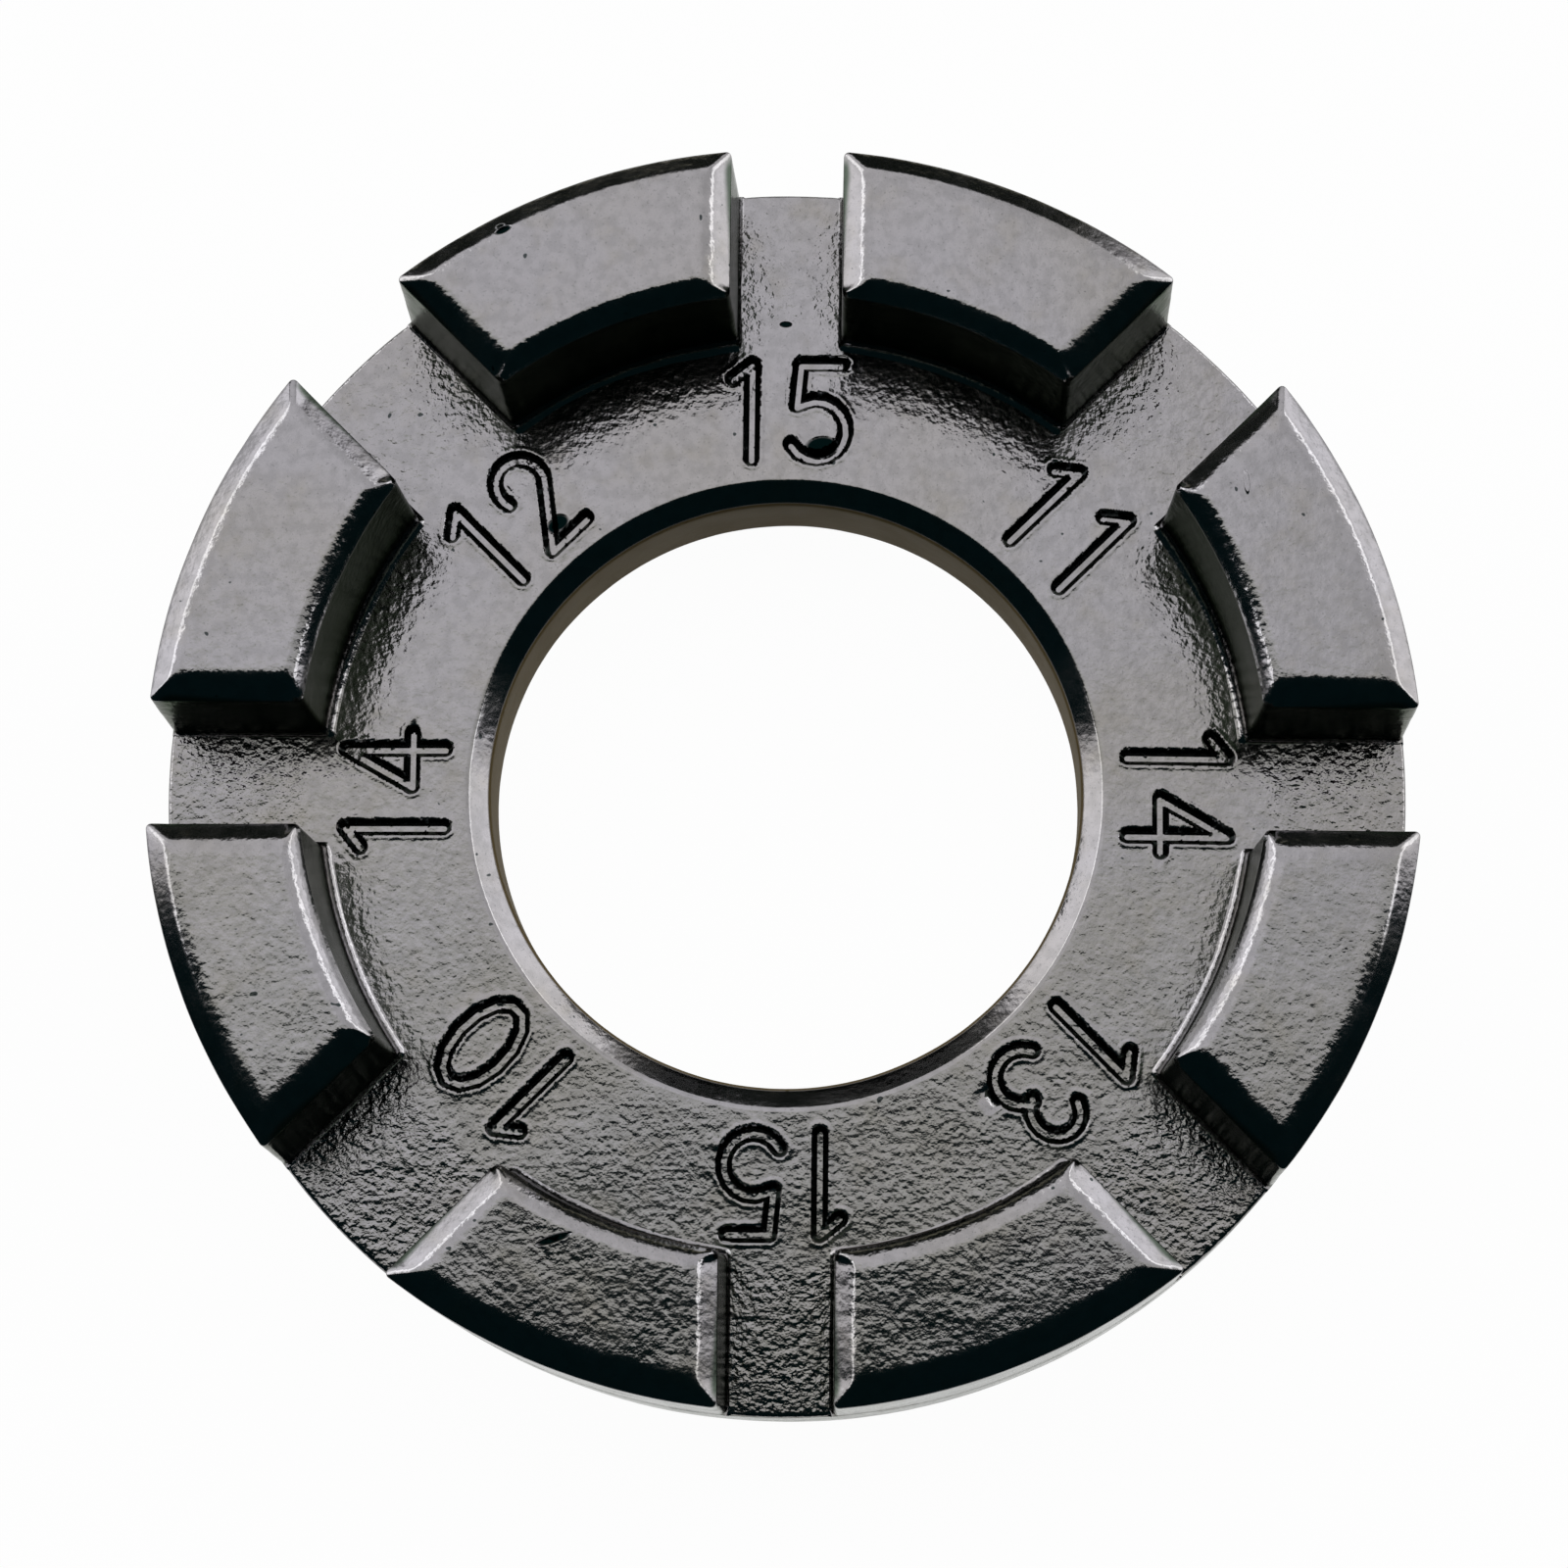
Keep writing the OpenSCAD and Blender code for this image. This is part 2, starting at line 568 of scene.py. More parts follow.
@dataclass(frozen=True)
class Mark:
    """One small blemish, an oval seen from above: its middle, length and width in millimetres.

    Its length is turned by so many degrees from +X. It is sunk by so many reliefs, or raised
    where that is below 0, and painted dark from 0 to 1, as shade in its dent.
    """

    x: float
    y: float
    length: float
    width: float
    turn: float
    sunk: float
    dark: float

    def inside(self, x: Field, y: Field, edge: Pair) -> Field:
        """How far a point lies within the blemish.

        Args:
            x: the point's x in metres.
            y: its y in metres.
            edge: squared distances, in half widths, over which the blemish starts and is in full.

        Returns:
            1 within the blemish, eased to 0 round it.
        """
        cos, sin = math.cos(math.radians(self.turn)), math.sin(math.radians(self.turn))
        dx, dy = x - self.x * MM, y - self.y * MM
        along = (dx * cos + dy * sin) / (self.length / 2 * MM)
        across = (dy * cos - dx * sin) / (self.width / 2 * MM)
        return (along * along + across * across).across(edge)


MARKS = (
    # A nick at the outer edge of the jaw left of the top notch: its raised lip, then its hollow
    Mark(-9.54, 18.11, 0.34, 0.2, 20.0, -4.0, 0.0),
    Mark(-9.43, 17.95, 0.6, 0.26, 25.0, 2.0, 1.0),
    # A pit in the floor of the top notch
    Mark(-0.14, 16.30, 0.42, 0.22, 0.0, 2.0, 1.0),
    # A short gouge on the jaw left of the bottom notch
    Mark(-7.13, -15.49, 1.2, 0.26, 19.0, 3.0, 1.0),
    # Blobs in the foot of the top 5 and of the 2
    Mark(1.12, 11.98, 1.15, 0.72, 8.0, 1.0, 1.0),
    Mark(-7.87, 9.26, 0.85, 0.6, 20.0, 1.0, 1.0),
    # A burr on the jaw that follows the notch for 11
    Mark(15.17, 9.43, 0.2, 0.8, 5.0, -2.0, 0.0),
)


@dataclass(frozen=True)
class PlatedCasting:
    """Glossy dark plating over a fine cast skin, with painted shade on the sides of the numerals. Relief in
    millimetres.
    """

    cast: CastBody
    plating: Triple = (0.308, 0.301, 0.316)
    warm: Triple = (0.275, 0.26, 0.235)
    soot: Triple = (0.08, 0.085, 0.08)
    # Painted reflection: a warm tan on the bore wall
    bore_tan_reflection: Triple = (0.10, 0.072, 0.028)
    # Painted shade: the dark reflection on the jaws' inner and notch walls
    wall: Triple = (0.07, 0.088, 0.07)
    # Dark pits at random, and painted shade on the sides of the numerals' grooves
    grime_and_groove_shade: Triple = (0.02, 0.03, 0.03)
    # Painted shade, near black, in the dents of the sunk blemishes
    hollow_shade: Triple = (0.001, 0.005, 0.005)
    edge: Triple = (0.375, 0.39, 0.36)
    cloud: Pattern = Pattern(6.0, span=(0.35, 0.7), share=0.4)
    patch: Pattern = Pattern(1.6, 3.0, 0.6, (0.5, 0.75), 0.4)
    speck: Pattern = Pattern(0.42, span=(0.38, 0.66), share=0.17)
    grain: Pattern = Pattern(0.09, 1.0, span=(0.62, 0.76), share=0.3)
    pit: Pattern = Pattern(0.34, 0.0, span=(0.845, 0.87), share=0.9)
    peel: Pattern = Pattern(0.24, rough=0.45)
    digit_shade_share: float = 0.85
    roughness: float = 0.105
    dull_span: Pair = (0.35, 0.7)
    dull_patch: float = 0.05
    dull_wall: float = 0.1
    dull_bore: float = 0.6
    # Takes metal off the bore, so that its painted tan reflection shows
    bore_diffuse_share: float = 0.8
    relief: float = 0.019
    grain_height: float = 0.12
    patch_height: float = 0.9
    bevel_calm: float = 0.6
    mark_edge: Pair = (1.15, 0.55)

    def material(self) -> bpy.types.Material:
        """Builds the node material.

        Returns:
            The material.
        """
        material = bpy.data.materials.new("plated_casting")
        t = blank_tree(material)
        where = t.node("ShaderNodeTexCoord", {}, {}, "Object")
        x, y, z = where.split()
        radius = (x * x + y * y).apply("SQRT")
        cloud, patch, speck, grain, pit, peel = (
            pattern.noise(t, where)
            for pattern in (self.cloud, self.patch, self.speck, self.grain, self.pit, self.peel))
        # The walls mask paints shade on the jaws' inner and notch walls
        wall, bore = Zone.WALLS.mask(z, radius), Zone.BORE.mask(z, radius)
        # The digit-side mask paints shade on the sides of the numerals' grooves
        digits = Zone.DIGIT_SIDES.mask(self.cast.face_over(radius) - z, radius)
        sunk, dark = self.blemishes(x, y, Zone.UPPER_PART.mask(z, radius))
        colour = t.mix_colour(self.cloud.shown(cloud) + self.patch.shown(patch), self.plating, self.warm)
        for share, over in (
                (self.speck.shown(speck), self.soot), (self.grain.shown(grain), self.soot),
                (self.pit.shown(pit), self.grime_and_groove_shade), (wall, self.wall), (bore, self.bore_tan_reflection),
                (digits * self.digit_shade_share, self.grime_and_groove_shade), (dark, self.hollow_shade)):
            colour = t.mix_colour(share, colour, over)
        rough = self.roughness + patch.across(self.dull_span) * self.dull_patch
        middle = NOISE_MIDDLE * (1.0 + self.grain_height + self.patch_height)
        uneven = peel + grain * self.grain_height + patch * self.patch_height - middle
        bevel = Zone.CROWN_BEVELS.mask(z, radius).at_least(Zone.HUB_BEVEL.mask(z, radius))
        height = uneven * (1.0 - bevel * self.bevel_calm + Zone.NOTCH_FLOORS.mask(z, radius)) - sunk
        bump = t.node("ShaderNodeBump", {}, {"Strength": 1.0, "Distance": self.relief * MM, "Height": height})
        shader = t.raw("ShaderNodeBsdfPrincipled", {}, {
            "Base Color": colour, "Metallic": 1.0 - bore * self.bore_diffuse_share,
            "Roughness": rough + wall * self.dull_wall + bore * self.dull_bore, "Normal": bump,
            "Specular Tint": (*self.edge, 1.0)})
        t.raw("ShaderNodeOutputMaterial", {}, {"Surface": shader.outputs[0]})
        return material

    def blemishes(self, x: Field, y: Field, upper: Field) -> tuple[Field, Field]:
        """Places the few small marks that the casting carries.

        Args:
            x: the point's x in metres.
            y: its y in metres.
            upper: mask of the part above the ring's flanks, where the marks are.

        Returns:
            How far the surface is sunk, and how dark its dent is painted as shade.
        """
        sunk, dark = upper * 0.0, upper * 0.0
        for mark in MARKS:
            inside = mark.inside(x, y, self.mark_edge) * upper
            sunk, dark = sunk + inside * mark.sunk, dark.at_least(inside * mark.dark)
        return sunk, dark


@dataclass(frozen=True)
class PaleFloor:
    """A plain white floor that the camera and the metal see as white, with the object's shadow."""

    white: Triple = (0.92, 0.92, 0.92)
    glow: float = 0.97

    def material(self) -> bpy.types.Material:
        """Builds the node material.

        Returns:
            The material.
        """
        material = bpy.data.materials.new("pale_floor")
        t = blank_tree(material)
        seen, glossy, passed = t.light_path("Is Camera Ray", "Is Glossy Ray", "Is Transmission Ray")
        matt = t.raw("ShaderNodeBsdfDiffuse", {}, {"Color": (*self.white, 1.0)})
        lit = t.raw("ShaderNodeEmission", {}, {"Color": (*WHITE, 1.0), "Strength": 1.0})
        amount = (seen + glossy + passed).at_most(1.0) * self.glow
        both = t.raw("ShaderNodeMixShader", {}, {0: amount, 1: matt.outputs[0], 2: lit.outputs[0]})
        t.raw("ShaderNodeOutputMaterial", {}, {"Surface": both.outputs[0]})
        return material


@dataclass
class Numerals:
    """The digits cast into the face: strokes drawn on a cell one unit high."""

    height: float = 3.36
    foot_r: float = 11.55
    half_width: float = 0.29
    floor_half_width: float = 0.09
    depth: float = 0.45
    arc_steps: int = 14
    gap: float = 0.42
    gaps: dict[str, float] = field(default_factory=lambda: {"11": 0.50, "13": 0.49})

    def arc(self, cx: float, cy: float, rx: float, ry: float, start: float, end: float) -> list[Vector]:
        """Points along an elliptic arc, angles in degrees."""
        return [Vector((cx + rx * math.cos(math.radians(a)), cy + ry * math.sin(math.radians(a))))
                for a in spread(start, end, self.arc_steps)]

    def line(self, *points: Pair) -> list[Vector]:
        """A stroke of straight runs."""
        return [Vector(point) for point in points]

    def digits(self) -> dict[str, tuple[list[Vector], float]]:
        """The stroke of each digit, and the width that it takes."""
        three = self.arc(0.25, 0.74, 0.24, 0.26, 160, -90)[:-1] + self.arc(0.25, 0.27, 0.28, 0.27, 70, -155)
        return {
            "0": (self.arc(0.27, 0.5, 0.27, 0.5, 90, 450), 0.54),
            "1": (self.line((0.2, 0.0), (0.2, 1.0), (0.0, 0.84)), 0.2),
            "2": (self.arc(0.25, 0.74, 0.25, 0.26, 200, -25) + self.line((0.0, 0.0), (0.48, 0.0)), 0.50),
            "3": (three, 0.53),
            "4": (self.line((0.38, 0.0), (0.38, 1.0), (0.0, 0.33), (0.54, 0.33)), 0.54),
            "5": (self.line((0.50, 1.0), (0.08, 1.0), (0.04, 0.56))
                  + self.arc(0.24, 0.31, 0.30, 0.31, 115, -150), 0.54),
        }

    def on_face(self) -> tuple[list[Triple], list[tuple[int, int]]]:
        """Lays every stroke flat round the ring.

        Returns:
            The points of the strokes, in metres, and their edges.
        """
        points: list[Triple] = []
        edges: list[tuple[int, int]] = []
        digits = self.digits()
        for notch in Notch:
            drawn = [digits[d] for d in notch.numerals]
            gap = self.gaps.get(notch.numerals, self.gap)
            turn = Matrix.Rotation(notch.angle - math.pi / 2, 2)
            at = -(drawn[0][1] + gap + drawn[1][1]) / 2
            for stroke, width in drawn:
                edges += [(k, k + 1) for k in range(len(points), len(points) + len(stroke) - 1)]
                for p in stroke:
                    flat = turn @ Vector(((at + p.x) * self.height, self.foot_r + p.y * self.height))
                    points.append((flat.x * MM, flat.y * MM, 0.0))
                at += width + gap
        return points, edges


@dataclass
class RingBase:
    """The ring that is held: flat underside, finger hole, sloping face and cast numerals.

    Sizes are in millimetres. Rows along a straight run go from one share of its length to another.
    The mesh is fine where the numerals stand and coarse elsewhere.
    """

    cast: CastBody
    numerals: Numerals
    ease: float = 0.1
    hub_ease: float = 0.1
    rim_ease: float = 0.14
    base_steps: int = 2
    rim_steps: int = 4
    hub_steps: int = 6
    lip_steps: int = 5
    rim_tuck: float = 0.08
    base_rows: Rows = (0.1, 0.9, 4)
    rim_rows: Rows = (0.2, 0.85, 4)
    bevel_rows: Rows = (0.35, 0.65, 3)
    bore_rows: Rows = (0.15, 0.9, 5)
    rim_row: float = 20.6
    coarse_rows: Rows = (20.2, 15.8, 11)
    fine_span: Pair = (15.55, 11.2)
    fine_row: float = 0.062
    hub_row: float = 11.13
    numeral_span: float = math.radians(10.2)
    fine_step: float = math.radians(0.262)
    coarse_step: float = math.radians(1.6)
    open_past: float = 0.25
    open_over: float = 0.3
    face_from: Pair = (3.3, 3.35)
    snap: Pair = (0.75, 0.45)
    burr_foot: float = 0.16
    burr_crest: float = 0.05
    burr_start: float = 0.02
    burr_height: float = 0.022

    def rounded(self, a: Vector, corner: Vector, b: Vector, reach: float, steps: int) -> list[Vector]:
        """The arc that rounds a corner between two straight runs and starts this far from it."""
        start, end = (corner + (p - corner).normalized() * reach for p in (a, b))
        return bend(start, corner, end, steps)

    def section(self) -> tuple[list[Triple], list[Triple]]:
        """The closed section of the ring, in metres.

        Returns:
            Its points with the rim's edge tucked in under a jaw, and with it eased as in a notch.
        """
        c = self.cast
        low_in, base_in = Vector((c.hole_r, c.base_bevel)), Vector((c.hole_r + c.base_bevel, 0))
        base_out = Vector((c.ring_r - c.base_bevel, 0))
        low_out = Vector((c.rim_radius(c.base_bevel), c.base_bevel))
        rim, hub = Vector((c.rim_r, c.rim_t)), Vector((c.hub_r, c.hub_t))
        lip = Vector((c.hole_r, c.hub_t - c.hole_bevel_h))
        under = self.rounded(lip, low_in, base_in, self.ease, self.base_steps)
        under += self.rounded(low_in, base_in, base_out, self.ease, self.base_steps)
        under += straight(base_in, base_out, self.base_rows)
        under += self.rounded(base_in, base_out, low_out, self.ease, self.base_steps)
        under += self.rounded(base_out, low_out, rim, self.ease, self.base_steps)
        under += straight(low_out, rim, self.rim_rows)
        eased = self.rounded(low_out, rim, hub, self.rim_ease, self.rim_steps)
        tuck = rim - Vector((self.rim_tuck, 0))
        tucked = [eased[0], tuck.lerp(eased[0], 0.5), tuck, tuck.lerp(eased[-1], 0.5), eased[-1]]
        fine = round((self.fine_span[0] - self.fine_span[1]) / self.fine_row)
        radii = [self.rim_row, *spread(*self.coarse_rows), *spread(*self.fine_span, fine), self.hub_row]
        upper = [Vector((r, c.face_height(r))) for r in radii]
        upper += self.rounded(upper[-1], hub, lip, self.hub_ease, self.hub_steps)
        upper += straight(hub, lip, self.bevel_rows)
        upper += self.rounded(hub, lip, low_in, self.ease, self.lip_steps)
        upper += straight(lip, low_in, self.bore_rows)
        tucked, eased = under + tucked + upper, under + eased + upper
        return tuple([(p.x * MM, 0.0, p.y * MM) for p in run] for run in (tucked, eased))

    def columns(self) -> list[float]:
        """Angles of the columns, clockwise, fine beside the notches and coarse between them.

        Returns:
            The angles in radians.
        """
        rest = PITCH - 2 * self.numeral_span
        fine, coarse = round(2 * self.numeral_span / self.fine_step), round(rest / self.coarse_step)
        angles: list[float] = []
        for notch in Notch:
            first, last = notch.angle + self.numeral_span, notch.angle - self.numeral_span
            angles += spread(first, last, fine + 1)[:-1] + spread(last, last - rest, coarse + 1)[:-1]
        return angles

    def openness(self, angle: float) -> float:
        """Tells a notch from a jaw along the rim.

        Args:
            angle: direction from the axis, in radians.

        Returns:
            1 in a notch's opening, 0 where a jaw stands, eased between.
        """
        notch = min(Notch, key=lambda n: abs(math.remainder(n.angle - angle, math.tau)))
        off = abs(math.sin(math.remainder(notch.angle - angle, math.tau))) * self.cast.rim_r
        edge = notch.width / 2 - self.cast.notch_fillet_r
        return min(1.0, max(0.0, (edge + self.open_past - off) / self.open_over))

    def tree(self) -> GeometryTree:
        """The tree that sweeps the section round the axis, adds the skin and engraves the numerals.

        Returns:
            The finished tree.
        """
        t = GeometryTree("ring_sweep", {
            "Object": ["Section", "Columns", "Strokes"], "Int": ["Rows", "Turns"],
            "Float": ["Groove half width", "Floor half width", "Groove depth"], "Material": ["Material"]})
        rows, turns = t.given("Rows"), t.given("Turns")
        sheet, index = t.sheet(turns + 1, rows + 1)
        row = index.apply("MODULO", rows + 1).apply("MODULO", rows)
        turn = (index / (rows + 1)).apply("FLOOR").apply("MODULO", turns)
        tucked, eased = t.read("Section", "position", row), t.read("Section", "eased", row)
        angle, opened = (t.read("Columns", name, turn, "FLOAT") for name in ("angle", "open"))
        profile = t.node("ShaderNodeMix", {"data_type": "VECTOR"}, {
            "Factor": opened, "A": tucked, "B": eased})
        r, _, z = profile.split()
        t.close(self.engrave(t, self.cast.skin(t, t.settle(sheet, r, angle, z))))
        return t

    def engrave(self, t: GeometryTree, geometry: Field) -> Field:
        """Sinks the numerals into the face, with steep sides and a faint burr along them.

        Args:
            t: the tree that it becomes part of.
            geometry: the swept ring in the tree.

        Returns:
            The geometry with its numerals.
        """
        x, y, z = t.position().split()
        flat = t.vector(x, y, 0.0)
        near = t.raw("GeometryNodeProximity", {"target_element": "EDGES"}, {
            0: t.geometry_of("Strokes"), "Source Position": flat})
        nearest, distance = Field(t, near.outputs[0]), Field(t, near.outputs[1])
        half, floor = t.given("Groove half width"), t.given("Floor half width")
        on_face = z.across(self.face_from, MM)
        snapped = distance
        for edge in (half, floor):
            off = snapped - edge
            snapped = snapped - off * off.apply("ABSOLUTE").across(self.snap, self.fine_row * MM)
        away = t.vector_maths("NORMALIZE", {0: t.vector_maths("SUBTRACT", {0: flat, 1: nearest})})
        slide = t.vector_maths("SCALE", {"Vector": away, "Scale": (snapped - distance) * on_face})
        sunk = ((half - snapped) / (half - floor)).at_least(0.0).at_most(1.0)
        crest = half + self.burr_crest * MM
        burr = snapped.ramp(half + self.burr_foot * MM, crest)
        burr = burr * snapped.ramp(half - self.burr_start * MM, crest)
        drop = (burr * self.burr_height * MM - sunk * t.given("Groove depth")) * on_face
        return t.shift(geometry, t.vector_maths("ADD", {0: slide, 1: t.vector(0.0, 0.0, drop)}))

    def build(self, material: bpy.types.Material) -> bpy.types.Object:
        """Builds the ring.

        Args:
            material: its finish.

        Returns:
            The finished piece.
        """
        tucked, eased = self.section()
        angles = self.columns()
        section = helper("ring_section", tucked, extras={"eased": eased})
        columns = helper("ring_columns", [(0.0, 0.0, 0.0)] * len(angles), extras={
            "angle": angles, "open": [self.openness(a) for a in angles]})
        strokes = helper("numeral_strokes", *self.numerals.on_face())
        ring = self.tree().run("cast_ring", {
            "Section": section, "Columns": columns, "Strokes": strokes, "Rows": len(tucked),
            "Turns": len(angles), "Groove half width": self.numerals.half_width * MM,
            "Floor half width": self.numerals.floor_half_width * MM,
            "Groove depth": self.numerals.depth * MM, "Material": material})
        for thing in (section, columns, strokes):
            discard(thing)
        tidy(ring)
        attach(ring, "root")
        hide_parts("ring_base")
        return ring


@dataclass(frozen=True)
class Level:
    """One level of a jaw, in millimetres.

    It has the insets of the notch walls, the heel wall and the rim, and the heights over the notch
    walls and the heel wall. Those heights count from the sloping face where lift is 0, and from the
    underside where it is 1. Shrink draws the level in towards its middle.
    """

    notch: float
    heel: float
    rim: float
    z_notch: float
    z_heel: float
    lift: float
    shrink: float = 1.0


@dataclass
class Jaws:
    """The eight jaws: each stands between two notches, with drafted walls, fillets and bevels.

    Sizes are in millimetres. Each jaw has a root that is sunk into the ring and stands a hair proud
    of its rim, so that no seam shows.
    """

    cast: CastBody
    side_points: int = 34
    end_points: int = 30
    corner_points: int = 5
    corner_r: float = 0.2
    mid_r: float = 18.3
    edge_ease: float = 0.03
    crown_ease: float = 0.3
    heel_low: Pair = (0.0, 0.08)
    heel_bend: Pair = (0.33, 0.49)
    heel_high: Pair = (0.70, 0.55)
    heel_flat: float = 0.1
    sink: float = 0.04
    root: float = 0.6
    overlap: float = 0.015
    crown_slope: float = 0.048
    flat_inner: float = 0.11
    flat_outer: float = 0.12
    outer_lift: float = 0.09
    fillet_steps: int = 7
    wall_steps: int = 26
    edge_steps: int = 4
    bevel_steps: int = 5
    ease_steps: int = 6
    cap_steps: int = 20

    def contour(self) -> tuple[list[Triple], list[Triple]]:
        """Points round a jaw seen from above, on a square that the tree bends to its real shape.

        Returns:
            Where each point lies on the square, and its outward way.
        """
        square: list[Triple] = []
        way: list[Triple] = []
        corners = [(1, -1, -90), (1, 1, 0), (-1, 1, 90), (-1, -1, 180)]
        for k, (sx, sy, start) in enumerate(corners):
            for a in spread(start, start + 90, self.corner_points + 1):
                square.append((sx, sy, 0.0))
                way.append((math.cos(math.radians(a)), math.sin(math.radians(a)), 0.0))
            nx, ny, _ = corners[(k + 1) % 4]
            count = self.side_points if sx == nx else self.end_points
            for s in spread(0.0, 1.0, count + 2)[1:-1]:
                square.append((sx + (nx - sx) * s, sy + (ny - sy) * s, 0.0))
                way.append(way[-1])
        return square, way

    def rim_inset(self, z: float) -> float:
        """How far the drafted rim has drawn in at height z."""
        return self.cast.ring_r - self.cast.rim_radius(z)

    def foot(self) -> list[Level]:
        """Levels of the root, from its middle outwards, and of the fillets along a jaw's foot.

        Returns:
            The levels from the lowest up.
        """
        c = self.cast
        rim = self.rim_inset(c.rim_t - self.root) - self.overlap
        levels = [Level(-c.notch_fillet_r, -c.heel_r, rim, -self.root, -self.root, 0.0, shrink)
                  for shrink in (0.0, 0.5, 1.0)]
        for s in spread(0.0, 1.0, self.fillet_steps + 1):
            turn = s * (math.pi / 2 - c.wall_draft)
            back, up = 1 - math.sin(turn), 1 - math.cos(turn)
            notch_z, heel_z = c.notch_fillet_r * up, c.heel_r * up
            sunk = self.sink * (1 - up)
            levels.append(Level(
                -c.notch_fillet_r * back, -c.heel_r * back,
                self.rim_inset(c.rim_t + notch_z) - self.overlap * (1 - up),
                notch_z - sunk, heel_z - sunk, 0.0))
        return levels

    def wall(self) -> list[Level]:
        """Levels of the drafted walls.

        Returns:
            The levels from the fillets up to the bevels.
        """
        c = self.cast
        high = c.edge_z - self.edge_ease
        draft = math.tan(c.wall_draft)
        notch_lean = (high - c.face_height(self.mid_r)) * draft
        heel_lean = (high - c.face_height(c.heel_at)) * draft
        levels = []
        for s in spread(0.0, 1.0, self.wall_steps + 1)[1:]:
            notch_z, heel_z = (r * (1 - s) + high * s for r in (c.notch_fillet_r, c.heel_r))
            rim = self.rim_inset(c.rim_t * (1 - s) + notch_z)
            levels.append(Level(notch_lean * s, heel_lean * s, rim, notch_z, heel_z, s))
        return levels

    def crown(self, below: Level) -> list[Level]:
        """Levels of the bevels and of the top.

        Args:
            below: the last level of the walls.

        Returns:
            The levels up to the bevels' upper edge, then inwards to the middle of the top.
        """
        c = self.cast
        bevel = Vector((c.crown_bevel_w, c.crown_bevel_h))
        flat = Vector((c.crown_bevel_w + self.crown_ease, c.crown_bevel_h))
        low, high = bevel * (self.edge_ease / bevel.length), bevel * (1 - self.crown_ease / bevel.length)
        run = bend(Vector((0, -self.edge_ease)), Vector((0, 0)), low, self.edge_steps)[1:]
        run += straight(low, high, (0, 1, self.bevel_steps + 1))[1:]
        run += bend(high, bevel, flat, self.ease_steps)[1:]
        heel_side = bend(Vector(self.heel_low), Vector(self.heel_bend), Vector(self.heel_high), len(run) - 2)
        heel_side.append(Vector((self.heel_high[0] + self.heel_flat, c.crown_bevel_h)))
        levels = []
        for p, q in zip(run, heel_side):
            z = c.edge_z + p.y
            levels.append(Level(below.notch + p.x, below.heel + q.x, self.rim_inset(min(z, c.edge_z)) + p.x,
                                z, c.edge_z + q.y, 1.0))
        notch, heel = below.notch + flat.x, below.heel + heel_side[-1].x
        rim = self.rim_inset(c.edge_z) + flat.x
        for shrink in spread(1.0, 0.0, self.cap_steps + 1)[1:]:
            levels.append(Level(notch, heel, rim, c.top_z, c.top_z, 1.0, shrink))
        return levels

    def levels(self) -> bpy.types.Object:
        """Puts every level of a jaw, from the lowest up, into a helper.

        Returns:
            The helper that the tree reads.
        """
        levels = self.foot() + self.wall()
        levels += self.crown(levels[-1])
        return helper("jaw_levels", [(v.notch * MM, v.heel * MM, v.rim * MM) for v in levels], extras={
            "height": [(v.z_notch * MM, v.z_heel * MM, v.lift) for v in levels],
            "shrink": [v.shrink for v in levels]})

    def tree(self) -> GeometryTree:
        """The tree that wraps the contour round every level of a jaw.

        Returns:
            The finished tree.
        """
        t = GeometryTree("jaw_wrap", {
            "Object": ["Contour", "Levels"], "Int": ["Around", "Upwards"], "Material": ["Material"],
            "Float": ["Left notch", "Right notch", "Left width", "Right width", "Ring radius",
                      "Heel radius", "Corner radius"]})
        around, upwards = t.given("Around"), t.given("Upwards")
        sheet, index = t.sheet(around + 1, upwards)
        level = index.apply("MODULO", upwards)
        point = (index / upwards).apply("FLOOR").apply("MODULO", around)
        sx, sy, _ = t.read("Contour", "position", point).split()
        wx, wy, _ = t.read("Contour", "way", point).split()
        notch, heel, rim = t.read("Levels", "position", level).split()
        heights, shrink = t.read("Levels", "height", level), t.read("Levels", "shrink", level, "FLOAT")
        r_in, r_out = t.given("Heel radius") + heel, t.given("Ring radius") - rim
        corner = t.given("Corner radius") * 2.0
        q = self.between_corners(sy, wy, corner / (r_out - r_in)) * shrink
        r = t.mix((q + 1.0) / 2.0, r_in, r_out)
        left = t.given("Left notch") - ((t.given("Left width") / 2.0 + notch) / r).apply("ARCSINE")
        right = t.given("Right notch") + ((t.given("Right width") / 2.0 + notch) / r).apply("ARCSINE")
        p = self.between_corners(sx, wx, corner / ((left - right) * r)) * shrink
        angle = t.mix((p + 1.0) / 2.0, left, right)
        z = self.height(t, r, wy, heights)
        t.close(self.cast.skin(t, t.settle(sheet, r, angle, z)))
        return t

    def between_corners(self, square: Field, way: Field, share: Field) -> Field:
        """Rounds the square's corners: they take this share of the way, and the sides the rest."""
        return square * (1.0 - share) + way * share

    def height(self, t: GeometryTree, r: Field, way: Field, heights: Field) -> Field:
        """Height of a jaw's points, with the gentle slopes of its top.

        Args:
            t: the tree that it becomes part of.
            r: radius of the point.
            way: its outward way along the radius, below 0 on the heel's side.
            heights: heights over notch and heel, and lift, of its level.

        Returns:
            The height in metres.
        """
        z_notch, z_heel, lift = heights.split()
        inward = way.at_most(0.0)
        bevel = self.cast.crown_bevel_w
        flat_from = t.given("Heel radius") + (bevel + self.flat_inner) * MM
        flat_to = t.given("Ring radius") - (bevel + self.flat_outer) * MM
        lean = (flat_from - r.at_least(flat_from).at_most(flat_to)) * self.crown_slope
        lean = (lean + (r - flat_to).at_least(0.0) * self.outer_lift) * lift
        return self.cast.face_over(r) * (1.0 - lift) + t.mix(inward * inward, z_notch, z_heel) + lean

